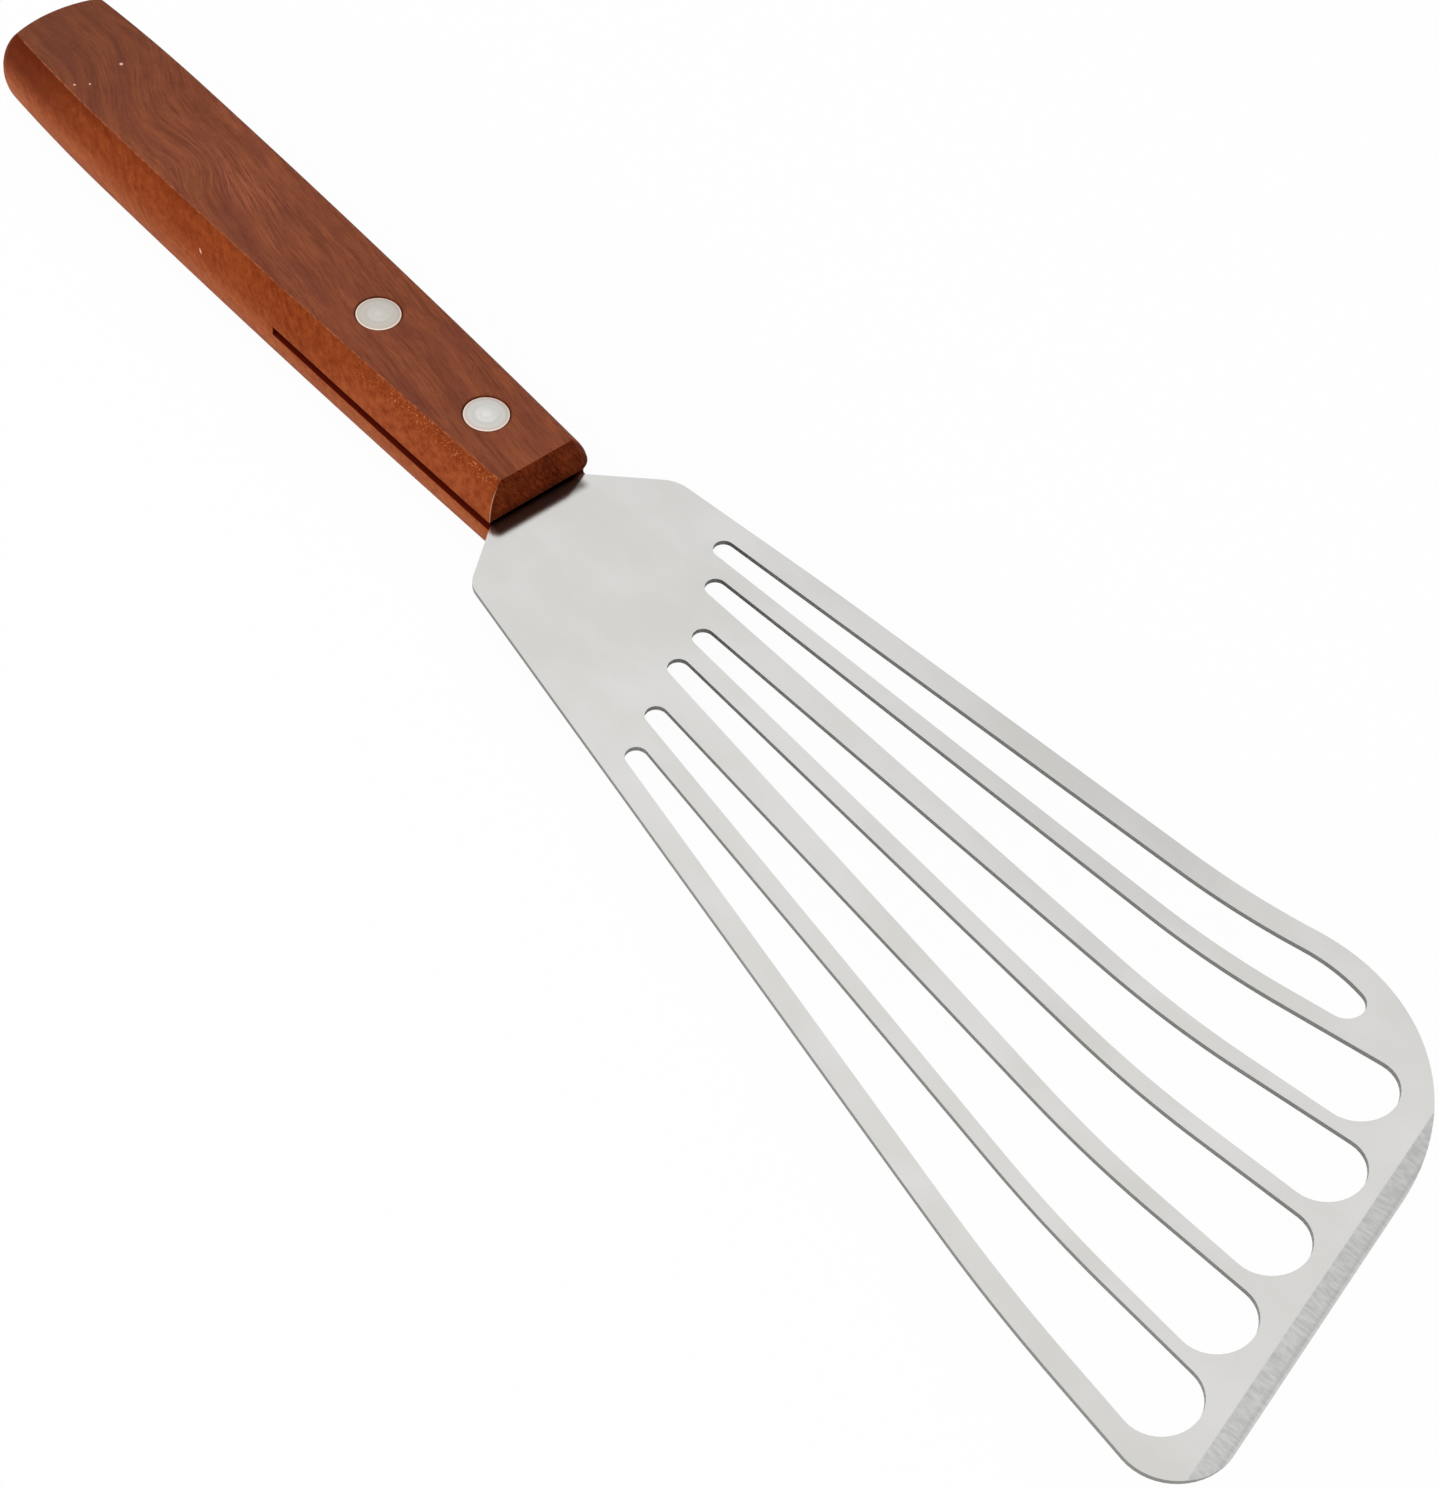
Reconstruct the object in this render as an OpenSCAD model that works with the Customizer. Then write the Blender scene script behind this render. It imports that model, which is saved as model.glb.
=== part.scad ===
// Slotted turner: a springy steel blade with six slots, riveted into the saw kerf of a turned wooden handle.
// X runs from the handle towards the blade's front edge, Y towards the blade's short side, and Z is up.
// The origin lies on the handle's flat underside, midway between the two rivets.

/* [Handle] */
// Length of the handle
handle_len = 126.4; // [115:0.1:140]
// Thickness between the two flats
handle_t = 12.7; // [11.5:0.1:15]
// Largest diameter of the turned blank
handle_d = 22.6; // [21:0.1:25]
// Diameter of the blank at the front end
front_d = 19.4; // [18.5:0.1:21]
// Distance of the thickest place behind the front end
belly_back = 96.9; // [75:0.1:102]
// How far the turned axis lies below the middle of the kerf
axis_drop = 0.85; // [0:0.05:1.2]
// Diameter of the blank where the butt's corners start
butt_d = 21.1; // [20:0.1:22.4]
// Radius of the butt's end, seen from above
butt_r = 25; // [16:0.5:40]
// Radius of the butt's two corners, seen from above
butt_edge_r = 3.1; // [3:0.1:5]
// How far the front face leans back above and below the blade
front_lean = 1.5; // [0:0.1:3]
// Front end of the handle ahead of the origin
front_x = 25.6; // [23:0.1:27]

/* [Kerf and tang] */
// Length of the saw kerf from the front end
kerf_len = 49.9; // [46:0.1:60]
// Clearance between the sheet and each wall of the kerf
kerf_clear = 0.3; // [0:0.01:0.4]
// Width of the tang inside the kerf
tang_w = 15.2; // [12:0.1:17]
// Gap between the end of the tang and the end of the kerf
tang_gap = 1.5; // [0.5:0.1:3]
// Rounding of the tang's back corners
tang_r = 2; // [0.5:0.1:4]

/* [Blade] */
// Thickness of the steel sheet
sheet_t = 0.8; // [0.6:0.05:1.2]
// Length from the handle to the sharp long corner
blade_len = 166.7; // [150:0.1:185]
// Width between the two sharp front corners
blade_w = 78.4; // [73:0.1:84]
// Distance of the long corner from the middle line
long_reach = 44.7; // [40:0.1:48]
// Lean of the front edge away from square
front_a = 12.3; // [8:0.1:18]
// Radius of the big corner on the short side
short_corner_r = 31.9; // [24:0.1:36]
// Radius of the corner on the long side
long_corner_r = 7.5; // [3:0.1:10]
// Width of the ground bevel along the front edge
bevel_w = 2.7; // [1.5:0.1:4]
// Thickness left at the edge of the bevel
edge_t = 0.3; // [0.2:0.05:0.5]

/* [Heel of the blade] */
// Shoulder corner on the short side: distance ahead of the handle
heel_short_x = 9.5; // [7:0.1:12]
// Shoulder corner on the short side: distance from the middle line
heel_short_y = 17.3; // [16:0.1:20]
// Shoulder corner on the long side: distance ahead of the handle
heel_long_x = 7; // [5:0.1:9]
// Shoulder corner on the long side: distance from the middle line
heel_long_y = 18.5; // [16:0.1:20]
// Slope of the short side's shoulder
heel_short_a = 47.5; // [44:0.1:52]
// Slope of the long side's shoulder
heel_long_a = 52.8; // [49:0.1:57]
// Rounding of the shoulder corner on the short side
heel_short_r = 5.7; // [2:0.1:8]
// Rounding of the shoulder corner on the long side
heel_long_r = 3.9; // [2:0.1:6]
// How far the short side bows out
short_bow = 0.55; // [0:0.05:1.5]
// How far the long side bows out
long_bow = 0.1; // [0:0.05:1]
// Radius that eases each bowed side
bow_r = 500; // [300:10:800]

/* [Bend] */
// Distance of the bend from the origin, square to the bend line
bend_at = 129.3; // [120:0.1:136]
// Direction of that distance from the X axis
bend_dir = 16.8; // [12:0.1:24]
// Radius of the bend in the middle of the sheet
bend_r = 82.6; // [50:0.1:100]
// Angle that the front of the blade turns up
bend_a = 14.2; // [8:0.1:20]

/* [Slots] */
// Width of the steel between two wide slot ends
finger_w = 2.4; // [1.8:0.1:3.6]
// Radius of the narrow end of a slot
root_r = 1.65; // [1.2:0.05:2]
// Distance of the last slot's wide end from the sharp long corner, along the front edge
last_slot = 12.8; // [12:0.1:15]
// Room left for the first slot beside the sharp short corner, along the front edge
first_room = 4.5; // [2:0.1:8]
// Width of the rim between the first slot and the short side
rim_w = 3.3; // [3:0.1:5]
// Radius of the tip of the first slot
first_tip_r = 2.55; // [1.8:0.05:2.8]

/* [Rivets] */
// Distance between the two rivets
rivet_pitch = 25.4; // [22:0.1:30]
// Diameter of the rivet heads
head_d = 6.85; // [6:0.05:8]
// Thickness of the rivet heads
head_t = 1.3; // [1:0.1:1.8]
// Height of the dome on a head
dome_h = 0.1; // [0.05:0.05:0.5]
// How far a head's crown stays below the flat
head_sink = 0.02; // [0.01:0.01:0.2]
// Outer diameter of the tubular half
tube_d = 4; // [3.6:0.1:4.6]
// Diameter of the solid half's shank
shank_d = 3; // [2.5:0.1:3.2]
// Gap between the shank and the tube
shank_clear = 0.02; // [0.01:0.01:0.05]
// Gap around a tube in the wood and around a head in its seat
hole_clear = 0.08; // [0.05:0.01:0.2]
// Gap left between the tube's end and the other head
tube_gap = 0.6; // [0.3:0.1:1.5]

/* [Hidden] */
$fn = 96;
over = 2;
flat_over = 0.2;
reach = 300;

mid_z = handle_t / 2;
axis_z = mid_z - axis_drop;
back_x = front_x - handle_len;
belly_x = front_x - belly_back;
kerf_t = sheet_t + 2 * kerf_clear;
kerf_x = front_x - kerf_len;

// Points along an arc, and the radius of an arc from its length and its sag
function polar(c, r, a) = [c[0] + r * cos(a), c[1] + r * sin(a)];
function arc(c, r, a0, a1, n) = [for (i = [0:n]) polar(c, r, a0 + (a1 - a0) * i / n)];
function angle_to(a, b) = atan2(b[1] - a[1], b[0] - a[0]);
function sag_r(len, sag) = (len * len + sag * sag) / (2 * sag);

// Seen from above, the butt is one wide arc between two corner arcs
corner_y = butt_d / 2 - butt_edge_r;
butt_c = [back_x + butt_r, 0];
corner_x = butt_c[0] - sqrt(pow(butt_r - butt_edge_r, 2) - corner_y * corner_y);
butt_half_a = atan2(corner_y, butt_c[0] - corner_x);

// The turned outline of the handle as places along the axis and radii, from the butt's corners to the front
front_arc_r = sag_r(belly_back, (handle_d - front_d) / 2);
rear_arc_r = sag_r(belly_x - corner_x, (handle_d - butt_d) / 2);
function turned_outline() = concat(
    arc([belly_x, handle_d / 2 - rear_arc_r], rear_arc_r, 90 + asin((belly_x - corner_x) / rear_arc_r), 90, 5),
    arc([belly_x, handle_d / 2 - front_arc_r], front_arc_r, 90, 90 - asin(belly_back / front_arc_r), 12)
);

module turned_blank() {
    outline = turned_outline();
    translate([0, 0, axis_z])
        rotate([0, 90, 0])
            rotate_extrude()
                polygon(concat([[0, front_x], [0, corner_x]], [for (p = outline) [p[1], p[0]]]));
}

// The bulge of the turned sides, carried round the butt: how far an upright edge stands out at each height
side_half_h = mid_z + axis_drop + flat_over;
corner_half_h = min(side_half_h, sqrt(pow(butt_d / 2, 2) - corner_y * corner_y) - flat_over);
function bulge(r, half_h) = [for (i = [-8:8]) let (h = half_h * i / 8)
    [r - butt_d / 2 + sqrt(butt_d * butt_d / 4 - h * h), h]];

// The corners stand a hair inside the sides, so that each seam is a clean step
seam = 0.02;
module butt() {
    translate([butt_c[0], 0, axis_z])
        rotate([0, 0, 180 - butt_half_a])
            rotate_extrude(angle = 2 * butt_half_a)
                polygon(concat([[0, -side_half_h]], bulge(butt_r, side_half_h), [[0, side_half_h]]));
    for (side = [-1, 1])
        translate([corner_x, side * corner_y, axis_z])
            rotate_extrude()
                polygon(concat(
                    [[0, -corner_half_h]], bulge(butt_edge_r - seam, corner_half_h), [[0, corner_half_h]]
                ));
}

// The side view that planes the two flats and cuts the leaning front face
module flat_slab() {
    lean_x = front_x - front_lean;
    rotate([90, 0, 0])
        linear_extrude(height = handle_d + 2 * over, center = true)
            polygon([
                [back_x - over, 0], [lean_x, 0], [front_x, mid_z - kerf_t / 2],
                [front_x, mid_z + kerf_t / 2], [lean_x, handle_t], [back_x - over, handle_t]
            ]);
}

module kerf() {
    translate([kerf_x, -handle_d / 2 - over, mid_z - kerf_t / 2])
        cube([kerf_len + over, handle_d + 2 * over, kerf_t]);
}

module at_rivets() {
    for (side = [-1, 1])
        translate([side * rivet_pitch / 2, 0, 0])
            children();
}

head_z = head_t + head_sink;

module rivet_hole() {
    translate([0, 0, -over])
        cylinder(d = tube_d + 2 * hole_clear, h = handle_t + 2 * over);
    translate([0, 0, -over])
        cylinder(d = head_d + 2 * hole_clear, h = over + head_z);
    translate([0, 0, handle_t - head_z])
        cylinder(d = head_d + 2 * hole_clear, h = over + head_z);
}

module handle() {
    color([0.50, 0.24, 0.14])
        difference() {
            intersection() {
                union() {
                    turned_blank();
                    butt();
                }
                flat_slab();
            }
            kerf();
            at_rivets() rivet_hole();
        }
}

// A corner of an outline rounded with its own radius, between its two neighbours
function corner(p, c, q, r, n) =
    let (u = (p - c) / norm(p - c))
    let (v = (q - c) / norm(q - c))
    let (half = acos(u * v) / 2)
    let (m = (u + v) / norm(u + v))
    let (o = c + m * r / sin(half))
    let (a0 = angle_to(o, c + u * r / tan(half)))
    let (a1 = angle_to(o, c + v * r / tan(half)))
    let (turn = a1 - a0 > 180 ? a1 - a0 - 360 : (a1 - a0 < -180 ? a1 - a0 + 360 : a1 - a0))
    arc(o, r, a0, a0 + turn, n);
function rounded(points, radii, steps) =
    let (n = len(points))
    [for (i = [0:n - 1])
        each radii[i] == 0 ? [points[i]]
            : corner(points[(i + n - 1) % n], points[i], points[(i + 1) % n], radii[i], steps[i])];

// Extra points along the straight stretches, so that they can follow the bend
function subdivided(points, step) =
    let (n = len(points))
    [for (i = [0:n - 1])
        let (p = points[i])
        let (q = points[(i + 1) % n])
        let (k = ceil(norm(q - p) / step))
        each [for (j = [0:k - 1]) p + (q - p) * j / k]];

// The sheet as cut is flat; a place on it seen from above once the sheet is bent
bend_len = bend_r * bend_a * PI / 180;
function folded_reach(s) =
    s <= bend_at ? s
        : s <= bend_at + bend_len ? bend_at + bend_r * sin((s - bend_at) / bend_r * 180 / PI)
            : bend_at + bend_r * sin(bend_a) + (s - bend_at - bend_len) * cos(bend_a);
function fold(p) =
    let (s = p[0] * cos(bend_dir) + p[1] * sin(bend_dir))
    let (e = -p[0] * sin(bend_dir) + p[1] * cos(bend_dir))
    let (f = folded_reach(s))
    [f * cos(bend_dir) - e * sin(bend_dir), f * sin(bend_dir) + e * cos(bend_dir)];
fold_step = blade_len / 40;
module folded(points) {
    polygon([for (p = subdivided(points, fold_step)) fold(p)]);
}

// Corners of the flat blade
short_reach = blade_w - long_reach;
toe_long = [front_x + blade_len, -long_reach];
toe_short = [toe_long[0] - blade_w * tan(front_a), short_reach];
heel_short = [front_x + heel_short_x, heel_short_y];
heel_long = [front_x + heel_long_x, -heel_long_y];
tang_x = kerf_x + tang_gap;
neck_short_x = heel_short[0] - (heel_short_y - tang_w / 2) / tan(heel_short_a);
neck_long_x = heel_long[0] - (heel_long_y - tang_w / 2) / tan(heel_long_a);
bow_place_share = 0.2;
long_bow_place_share = 0.65;
function bowed(a, b, place, bow) =
    let (u = (b - a) / norm(b - a))
    a + (b - a) * place + bow * [-u[1], u[0]];

module blade_outline() {
    folded(rounded(
        [
            [tang_x, -tang_w / 2], [neck_long_x, -tang_w / 2], heel_long,
            bowed(heel_long, toe_long, long_bow_place_share, -long_bow), toe_long, toe_short,
            bowed(heel_short, toe_short, bow_place_share, short_bow), heel_short,
            [neck_short_x, tang_w / 2], [tang_x, tang_w / 2]
        ],
        [tang_r, 0, heel_long_r, bow_r, long_corner_r, short_corner_r, bow_r, heel_short_r, 0, tang_r],
        [6, 0, 8, 4, 16, 28, 4, 10, 0, 6]
    ));
}

// Where each slot starts, as shares of the blade's length ahead of the handle and of the width of its heel
root_shares = [
    [0.1415, 0.392], [0.1695, 0.2345], [0.2045, 0.0275], [0.2165, -0.1465], [0.243, -0.3645], [0.265, -0.5495]
];
// Distance of each wide end's centre from the front edge, as shares of the slot pitch
end_shares = [0, 0.967, 0.793, 0.837, 0.847, 0.842];
slots = len(root_shares);
slot_pitch = (blade_w / cos(front_a) - last_slot - first_room) / (slots - 1);
end_r = (slot_pitch - finger_w) / 2;
heel_w = heel_short_y + heel_long_y;
function slot_root(i) = [front_x + root_shares[i][0] * blade_len, root_shares[i][1] * heel_w];
function slot_end(i) =
    let (along = last_slot + (slots - 1 - i) * slot_pitch)
    let (inward = end_shares[i] * slot_pitch)
    toe_long + along * [-sin(front_a), cos(front_a)] - inward * [cos(front_a), sin(front_a)];

// A slot between two round ends, with straight sides that touch both
function tapered(a, b, ra, rb, n) =
    let (dir = angle_to(a, b))
    let (side = acos((ra - rb) / norm(b - a)))
    concat(arc(b, rb, dir - side, dir + side, n), arc(a, ra, dir + side, dir + 360 - side, n));

// The first slot's outer side follows the big corner of the blade
corner_half = (angle_to(toe_short, heel_short) - angle_to(toe_short, toe_long)) / 2;
function corner_centre() =
    let (u = (heel_short - toe_short) / norm(heel_short - toe_short))
    let (v = (toe_long - toe_short) / norm(toe_long - toe_short))
    let (half = acos(u * v) / 2)
    toe_short + (u + v) / norm(u + v) * short_corner_r / sin(half);
first_turn = 74.5;
function first_slot() =
    let (c = corner_centre())
    let (rim_r = short_corner_r - rim_w)
    let (tip = polar(c, rim_r - first_tip_r, first_turn))
    let (root = slot_root(0))
    let (dir = angle_to(root, tip))
    let (side = acos((root_r - first_tip_r) / norm(tip - root)))
    let (far = norm(c - root))
    let (in_a = angle_to(root, c) + asin((rim_r - root_r) / far))
    concat(
        arc(tip, first_tip_r, dir - side, first_turn, 12),
        arc(c, rim_r, first_turn, in_a + 90, 12),
        arc(root, root_r, in_a + 90, dir + 360 - side, 16)
    );

module slot_outlines() {
    folded(first_slot());
    for (i = [1:slots - 1])
        folded(tapered(slot_root(i), slot_end(i), root_r, end_r, 20));
}

// Side view of the bent sheet, square to the bend line
function sheet_side(z) =
    let (bent = [for (i = [0:12]) let (a = bend_a * i / 12)
        [bend_at + (bend_r - z) * sin(a), bend_r - (bend_r - z) * cos(a)]])
    let (last = bent[12])
    concat([[-reach, z]], bent, [last + reach * [cos(bend_a), sin(bend_a)]]);
module bent_sheet() {
    low = sheet_side(-sheet_t / 2);
    top = sheet_side(sheet_t / 2);
    rotate([0, 0, bend_dir])
        rotate([90, 0, 0])
            linear_extrude(height = 2 * reach, center = true)
                polygon(concat(low, [for (i = [len(top) - 1:-1:0]) top[i]]));
}

// Places on the flat sheet carried round to the turned-up front of the blade
module on_front() {
    rotate([0, 0, bend_dir])
        translate([bend_at + bend_r * sin(bend_a), 0, bend_r * (1 - cos(bend_a))])
            rotate([0, -bend_a, 0])
                translate([-bend_at - bend_len, 0, 0])
                    rotate([0, 0, -bend_dir])
                        children();
}

module bevel_cut() {
    slope = (sheet_t - edge_t) / bevel_w;
    translate(toe_long)
        rotate([0, 0, front_a])
            rotate([90, 0, 0])
                linear_extrude(height = 2 * reach, center = true)
                    polygon([
                        [-bevel_w - over, sheet_t / 2 + over * slope], [over, sheet_t / 2 - slope * (bevel_w + over)],
                        [over, sheet_t / 2 + over], [-bevel_w - over, sheet_t / 2 + over]
                    ]);
}

module blade() {
    color([0.80, 0.80, 0.79])
        translate([0, 0, mid_z])
            difference() {
                intersection() {
                    translate([0, 0, -reach / 2])
                        linear_extrude(height = reach)
                            difference() {
                                blade_outline();
                                slot_outlines();
                            }
                    bent_sheet();
                }
                on_front() bevel_cut();
                at_rivets()
                    cylinder(d = tube_d + 2 * hole_clear, h = sheet_t + over, center = true);
            }
}

// A rivet head with its seat at z = 0 and its low dome upwards
module rivet_head() {
    dome_r = (head_d * head_d / 4 + dome_h * dome_h) / (2 * dome_h);
    intersection() {
        cylinder(d = head_d, h = head_t);
        translate([0, 0, head_t - dome_r])
            sphere(r = dome_r);
    }
}

// The solid half: a head on top and a plain shank that drives into the tube
module rivet_post() {
    seat_z = handle_t - head_z;
    shank_end = head_z + tube_gap;
    color([0.83, 0.84, 0.84])
        union() {
            translate([0, 0, seat_z])
                rivet_head();
            translate([0, 0, shank_end])
                cylinder(d = shank_d, h = seat_z - shank_end + head_t / 2);
        }
}

// The tubular half: a head underneath and a tube that fills the hole through wood and tang
module rivet_cap() {
    tube_end = handle_t - head_z - tube_gap;
    color([0.83, 0.84, 0.84])
        difference() {
            union() {
                translate([0, 0, head_z])
                    rotate([180, 0, 0])
                        rivet_head();
                translate([0, 0, head_z - head_t / 2])
                    cylinder(d = tube_d, h = tube_end - head_z + head_t / 2);
            }
            translate([0, 0, head_z])
                cylinder(d = shank_d + 2 * shank_clear, h = handle_t);
        }
}

module front() { translate([rivet_pitch / 2, 0, 0]) children(); }
module rear() { translate([-rivet_pitch / 2, 0, 0]) children(); }

handle();
blade();
front() rivet_post();  // rivet_front_post
front() rivet_cap();  // rivet_front_cap
rear() rivet_post();  // rivet_rear_post
rear() rivet_cap();  // rivet_rear_cap
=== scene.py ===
import math

import bmesh
import bpy
from mathutils import Matrix, Vector


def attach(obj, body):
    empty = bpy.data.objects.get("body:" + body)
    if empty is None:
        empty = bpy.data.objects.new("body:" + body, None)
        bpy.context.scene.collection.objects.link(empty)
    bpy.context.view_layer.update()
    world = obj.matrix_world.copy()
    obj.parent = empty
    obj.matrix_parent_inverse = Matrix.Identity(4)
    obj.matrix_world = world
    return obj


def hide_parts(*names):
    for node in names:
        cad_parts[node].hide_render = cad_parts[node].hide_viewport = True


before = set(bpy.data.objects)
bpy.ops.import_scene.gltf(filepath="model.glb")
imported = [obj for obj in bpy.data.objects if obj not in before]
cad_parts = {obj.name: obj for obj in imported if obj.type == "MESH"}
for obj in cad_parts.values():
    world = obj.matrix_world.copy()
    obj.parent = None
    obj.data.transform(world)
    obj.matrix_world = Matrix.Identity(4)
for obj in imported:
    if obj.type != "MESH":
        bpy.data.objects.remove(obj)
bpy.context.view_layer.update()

MM = 0.001

# ------------------------------------------------------------------ sizes, in millimetres and radians
# The handle: its thickness between the flats, and the diameters of the turned form at its fullest and at its ends
HANDLE_T = 12.7
HANDLE_D, FRONT_D, BUTT_D = 22.6, 19.4, 21.1
# Heights of the kerf's middle and of the turned form's axis
MID_Z = HANDLE_T / 2
AXIS_Z = MID_Z - 0.85
# Places of the front end, of the butt and of the fullest part, and how far the front leans back up to the flat
FRONT_X, FRONT_LEAN = 25.6, 1.5
BACK_X, BELLY_X = FRONT_X - 126.4, FRONT_X - 96.9
# Seen from above: the butt's wide arc and its corners, then the corners of the front end. The short side's corner
# has a radius at the kerf and one at the flat
BUTT_R, BUTT_EDGE_R = 25.0, 3.1
LONG_CORNER_R = 0.3
SHORT_CORNER_R = {"top": (2.0, 0.8), "bottom": (3.6, 2.4)}
# Easing of the edges on the flats, less of it at the long corner, and the share of it that goes down the wall; then
# easing of the kerf's mouth, and how much more there is at the short corner
ARRIS, CORNER_ARRIS, ARRIS_DROP = 0.32, LONG_CORNER_R * 0.7, 0.6
LIP, CORNER_LIP = 0.1, 0.7

# The sheet's thickness, the kerf's width and the place of its end
SHEET_T = 0.8
KERF_T, KERF_X = SHEET_T + 0.6, FRONT_X - 49.9

# The rivets stand at plus and minus RIVET_X. A head's diameter and thickness, its depth below the flat, the height
# of its dome and the radius of its rim; its spun ring's radius, reach and depth
RIVET_X = 12.7
HEAD_D, HEAD_T, HEAD_SINK, DOME_H, RIM_R = 6.85, 1.3, 0.02, 0.1, 0.14
RING_R, RING_REACH, RING_DEEP = HEAD_D * 0.23, 0.32, 0.022
# The tube's and the shank's diameters, the gap at their ends, and the room round them in their holes
TUBE_D, SHANK_D, TUBE_GAP = 4.0, 3.0, 0.6
HOLE_CLEAR, SHANK_CLEAR = 0.08, 0.02
# A hole's mouth is wider by the first, down to the second
MOUTH_WIDE, MOUTH_DEEP = 0.05, 0.06

# The blade's bend: its start, the way it faces, its radius and angle
BEND_AT, BEND_DIR, BEND_R, BEND_A = 129.3, math.radians(16.8), 82.6, math.radians(14.2)
# The front edge on the flat sheet: a point on it and its slant; then its ground bevel and the marks' slant
TOE_LONG, FRONT_A = (192.3, -44.7), math.radians(12.3)
BEVEL_W, BEVEL_FADE = 2.7, 0.06
GRIND_A = math.radians(7)

# Counts of the steps that curves and walls are made in
ROUND_STEPS, DOME_STEPS, RIM_STEPS = 64, 26, 6
FORK_STEPS, CORNER_STEPS, REAR_STEPS, BUTT_STEPS = 16, 6, 26, 20
WALL_STEPS, EASE_STEPS = 10, 4
# Edges that turn by more than this are shaded sharp
SHARP_A = math.radians(38)


# ------------------------------------------------------------------ node graphs
class Graph:
    """The nodes of a material or a world, written as nested calls."""

    def __init__(self, owner):
        owner.use_nodes = True
        self.owner = owner
        self.tree = owner.node_tree
        self.tree.nodes.clear()

    def node(self, kind, inputs=None, **props):
        n = self.tree.nodes.new("ShaderNode" + kind)
        for k, v in props.items():
            setattr(n, k, v)
        for k, v in (inputs or {}).items():
            self.put(n.inputs[k], v)
        return n

    def put(self, socket, value):
        if isinstance(value, bpy.types.NodeSocket):
            self.tree.links.new(value, socket)
        else:
            socket.default_value = value

    def math(self, op, a, b=0.0):
        return self.node("Math", {0: a, 1: b}, operation=op).outputs[0]

    def add(self, total, *others):
        for other in others:
            total = self.math("ADD", total, other)
        return total

    def mul(self, product, *others):
        for other in others:
            product = self.math("MULTIPLY", product, other)
        return product

    def weighed(self, *pairs):
        """the sum of the pairs' values, each times its weight"""
        return self.add(*[self.mul(value, weight) for value, weight in pairs])

    def size(self, value):
        return self.math("ABSOLUTE", value)

    def dot(self, v, w):
        return self.node("VectorMath", {0: v, 1: w}, operation="DOT_PRODUCT").outputs["Value"]

    def length(self, v):
        return self.node("VectorMath", {0: v}, operation="LENGTH").outputs["Value"]

    def smooth(self, value, start, end, low=0.0, high=1.0):
        """low where value is at start, eased to high where it is at end"""
        return self.node("MapRange", {"Value": value, "From Min": start, "From Max": end, "To Min": low,
                                      "To Max": high}, interpolation_type="SMOOTHSTEP").outputs[0]

    def vector(self, x, y, z=0.0):
        return self.node("CombineXYZ", {"X": x, "Y": y, "Z": z}).outputs[0]

    def axes(self, vector):
        return self.node("SeparateXYZ", {0: vector}).outputs[:]

    def turned(self, u, v, angle):
        """two axes, turned in their plane"""
        return (self.add(self.mul(u, math.cos(angle)), self.mul(v, math.sin(angle))),
                self.add(self.mul(u, -math.sin(angle)), self.mul(v, math.cos(angle))))

    def noise(self, axes, rates, detail, rough):
        """random values from 0 to 1; rates tell how fast they change along the axes, per millimetre"""
        place = self.vector(*[self.mul(axis, rate) for axis, rate in zip(axes, rates)])
        return self.node("TexNoise", {"Vector": place, "Scale": 1.0, "Detail": detail,
                                      "Roughness": rough}).outputs["Fac"]

    def bell(self, axes, middle, reach):
        """1 at the middle, down to 1/e at its reach along either axis"""
        off = [self.mul(self.add(axis, -m), 1 / r) for axis, m, r in zip(axes, middle, reach)]
        return self.math("EXPONENT", self.mul(self.add(*[self.mul(o, o) for o in off]), -1.0))

    def mix(self, share, a, b):
        """b over a; among a Mix node's sockets 6, 7 and output 2 are the ones for colours"""
        return self.node("Mix", {"Factor": share, 6: a, 7: b}, data_type="RGBA").outputs[2]

    def place(self):
        """the surface's place in the part's frame, in millimetres"""
        return self.node("VectorMath", {0: self.node("TexCoord").outputs["Object"], "Scale": 1 / MM},
                         operation="SCALE").outputs[0]

    def bump(self, height, distance_mm, strength):
        return self.node("Bump", {"Strength": strength, "Distance": distance_mm * MM,
                                  "Height": height}).outputs[0]

    def output(self, kind, shader):
        self.put(self.node(kind).inputs["Surface"], shader.outputs[0])
        return self.owner

    def surface(self, **inputs):
        shader = self.node("BsdfPrincipled", {k.replace("_", " "): v for k, v in inputs.items()})
        return self.output("OutputMaterial", shader)


def rgb(r, g, b):
    """a colour as it is seen, 0 to 255 a channel, in linear numbers"""
    return tuple((v / 255 / 12.92) if v < 10.3 else ((v / 255 + 0.055) / 1.055) ** 2.4 for v in (r, g, b)) + (1.0,)


def grey(level):
    return (level, level, level, 1.0)


# ------------------------------------------------------------------ wood
# Noises, each with its rates along three axes, its detail and its roughness. The first six follow the growth layers
BROAD = (0.022, 0.36, 0.16), 3.0, 0.55
STREAK = (0.07, 1.7, 0.5), 4.0, 0.62
FINE = (0.28, 5.0, 1.2), 3.0, 0.6
LINE = (0.14, 2.6, 0.7), 5.0, 0.75
PATCH = (0.08, 0.25, 0.2), 2.0, 0.5
PORE = (0.9, 9.0, 2.2), 1.0, 0.4
WOBBLE = (0.05, 0.12, 0.12), 2.0, 0.5
WAVER = (0.25, 0.3, 0.3), 2.0, 0.5
MOTTLE = (0.22, 0.4, 0.4), 3.0, 0.6
BLOTCH = (0.7, 1.0, 0.8), 4.0, 0.65
FLECK = (0.5, 2.2, 0.5), 4.0, 0.65
END_GRAIN = (1.5, 3.2, 0.9), 4.0, 0.7
CHIP = (2.6, 2.0, 3.2), 2.0, 0.6
DASH = (0.8, 1.5, 1.5), 3.0, 0.6

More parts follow.
